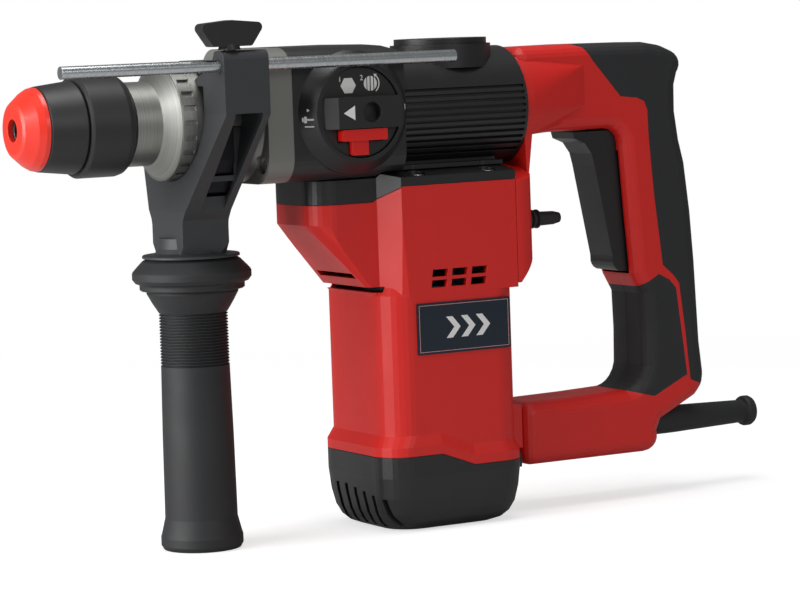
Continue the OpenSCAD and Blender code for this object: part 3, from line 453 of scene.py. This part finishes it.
rim_bar("rim_hammer_handle", 0.0262, -0.0024, 0.0040, 0.0008)
rim_bar("rim_hammer_head", 0.0276, -0.0024, 0.0015, 0.0031)
rim_bar("rim_hammer_face", 0.0284, -0.0024, 0.0009, 0.0020)
rim_bar("rim_bit_line", 0.0264, -0.0057, 0.0050, 0.0006)
rim_bar("rim_dot", 0.0249, 0.0015, 0.0014, 0.0027, 1)
bpy.ops.mesh.primitive_cylinder_add(vertices=3, radius=0.0010, depth=ink,
                                    location=rim_place(0.0268, 0.0020),
                                    rotation=(upright, upright, -slope))
settle("rim_triangle", "tool", "print_white")

# %% [markdown]
# The label is a printed film on the side of the motor housing. A thin light line runs round
# it, and three chevrons fill the middle. The line is a plane with an inset face: the inner
# face is deleted, and what is left is raised by a tenth of a millimetre.

# %% Label border
label_low, label_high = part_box("label_plate")
label_centre = ((label_low[0] + label_high[0]) / 2, label_low[1], (label_low[2] + label_high[2]) / 2)
label_margin = 0.0022
line_width = 0.0003
film = 0.0001
bpy.ops.mesh.primitive_plane_add(size=1, location=label_centre, rotation=(upright, 0, 0))
bpy.context.active_object.scale = (label_high[0] - label_low[0] - label_margin,
                                   label_high[2] - label_low[2] - label_margin, 1)
bpy.ops.object.transform_apply(location=True, rotation=True, scale=True)
bpy.ops.object.mode_set(mode="EDIT")
bpy.ops.mesh.select_all(action="SELECT")
bpy.ops.mesh.inset(thickness=line_width)
bpy.ops.mesh.delete(type="FACE")
bpy.ops.mesh.select_all(action="SELECT")
bpy.ops.mesh.extrude_region_move(TRANSFORM_OT_translate={"value": (0, -film, 0)})
bpy.ops.mesh.select_all(action="SELECT")
bpy.ops.mesh.normals_make_consistent(inside=False)
bpy.ops.object.mode_set(mode="OBJECT")
settle("label_border", "tool", "print_rose", 0.00002)

# %% [markdown]
# A chevron is a plane cut into two rows, whose middle line is pulled forward. Raised like the
# border, it reads as a plain direction mark.

# %% Chevrons
pitch = 0.0085
reach = 0.0045
for number in range(3):
    centre_x = label_centre[0] - pitch + number * pitch
    bpy.ops.mesh.primitive_grid_add(x_subdivisions=1, y_subdivisions=2, size=1,
                                    location=(centre_x, label_low[1], label_centre[2]),
                                    rotation=(upright, 0, 0))
    bpy.context.active_object.scale = (0.0036, 0.0105, 1)
    bpy.ops.object.transform_apply(location=True, rotation=True, scale=True)
    sheet = bpy.context.active_object
    for corner in sheet.data.vertices:
        corner.select = abs(corner.co.z - label_centre[2]) < 0.0001
    for line in sheet.data.edges:
        line.select = all(sheet.data.vertices[end].select for end in line.vertices)
    for face in sheet.data.polygons:
        face.select = False
    bpy.ops.object.mode_set(mode="EDIT")
    bpy.ops.transform.translate(value=(reach, 0, 0))
    bpy.ops.mesh.select_all(action="SELECT")
    bpy.ops.mesh.extrude_region_move(TRANSFORM_OT_translate={"value": (0, -film, 0)})
    bpy.ops.mesh.select_all(action="SELECT")
    bpy.ops.mesh.normals_make_consistent(inside=False)
    bpy.ops.object.mode_set(mode="OBJECT")
    settle(f"label_chevron_{number + 1}", "tool", "print_white", 0.00003)

# %% [markdown]
# The floor is a sheet of white studio paper. Seen by the camera it glows a little, as paper
# lit from below does, so it stays white while the tool keeps its soft shadow. Far from the
# tool it turns into plain white, so the paper has no visible end.

# %% Floor finish
tree, shader, place = new_finish("floor_paper")
speck = add(tree, "ShaderNodeTexNoise", {"Scale": 30.0, "Detail": 2.0}, {"Vector": place})
tint = add(tree, "ShaderNodeMix", {"data_type": "RGBA"}, {"Factor": speck.outputs["Fac"]})
tint.inputs[6].default_value = linear("#c4c4c4")
tint.inputs[7].default_value = linear("#bebebe")
tree.links.new(tint.outputs[2], shader.inputs["Base Color"])
shader.inputs["Roughness"].default_value = 0.7
shader.inputs["Emission Color"].default_value = (1, 1, 1, 1)
sight = add(tree, "ShaderNodeLightPath").outputs["Is Camera Ray"]
glow = add(tree, "ShaderNodeMapRange", {"To Max": 0.62}, {"Value": sight})
tree.links.new(glow.outputs["Result"], shader.inputs["Emission Strength"])
away = add(tree, "ShaderNodeVectorMath", {"operation": "LENGTH"}, {"Vector": place})
fade = add(tree, "ShaderNodeMapRange", {"From Min": 0.30, "From Max": 0.9}, {"Value": away.outputs["Value"]})
paper = add(tree, "ShaderNodeEmission", {"Strength": 1.0})
whole = add(tree, "ShaderNodeMath", {"operation": "MULTIPLY"})
tree.links.new(fade.outputs["Result"], whole.inputs[0])
tree.links.new(sight, whole.inputs[1])
blend = add(tree, "ShaderNodeMixShader")
tree.links.new(whole.outputs["Value"], blend.inputs["Fac"])
tree.links.new(shader.outputs["BSDF"], blend.inputs[1])
tree.links.new(paper.outputs["Emission"], blend.inputs[2])
tree.links.new(blend.outputs["Shader"], tree.nodes["Material Output"].inputs["Surface"])
floor.data.materials.append(finishes["floor_paper"])
print("floor finish:", floor.data.materials[0].name)
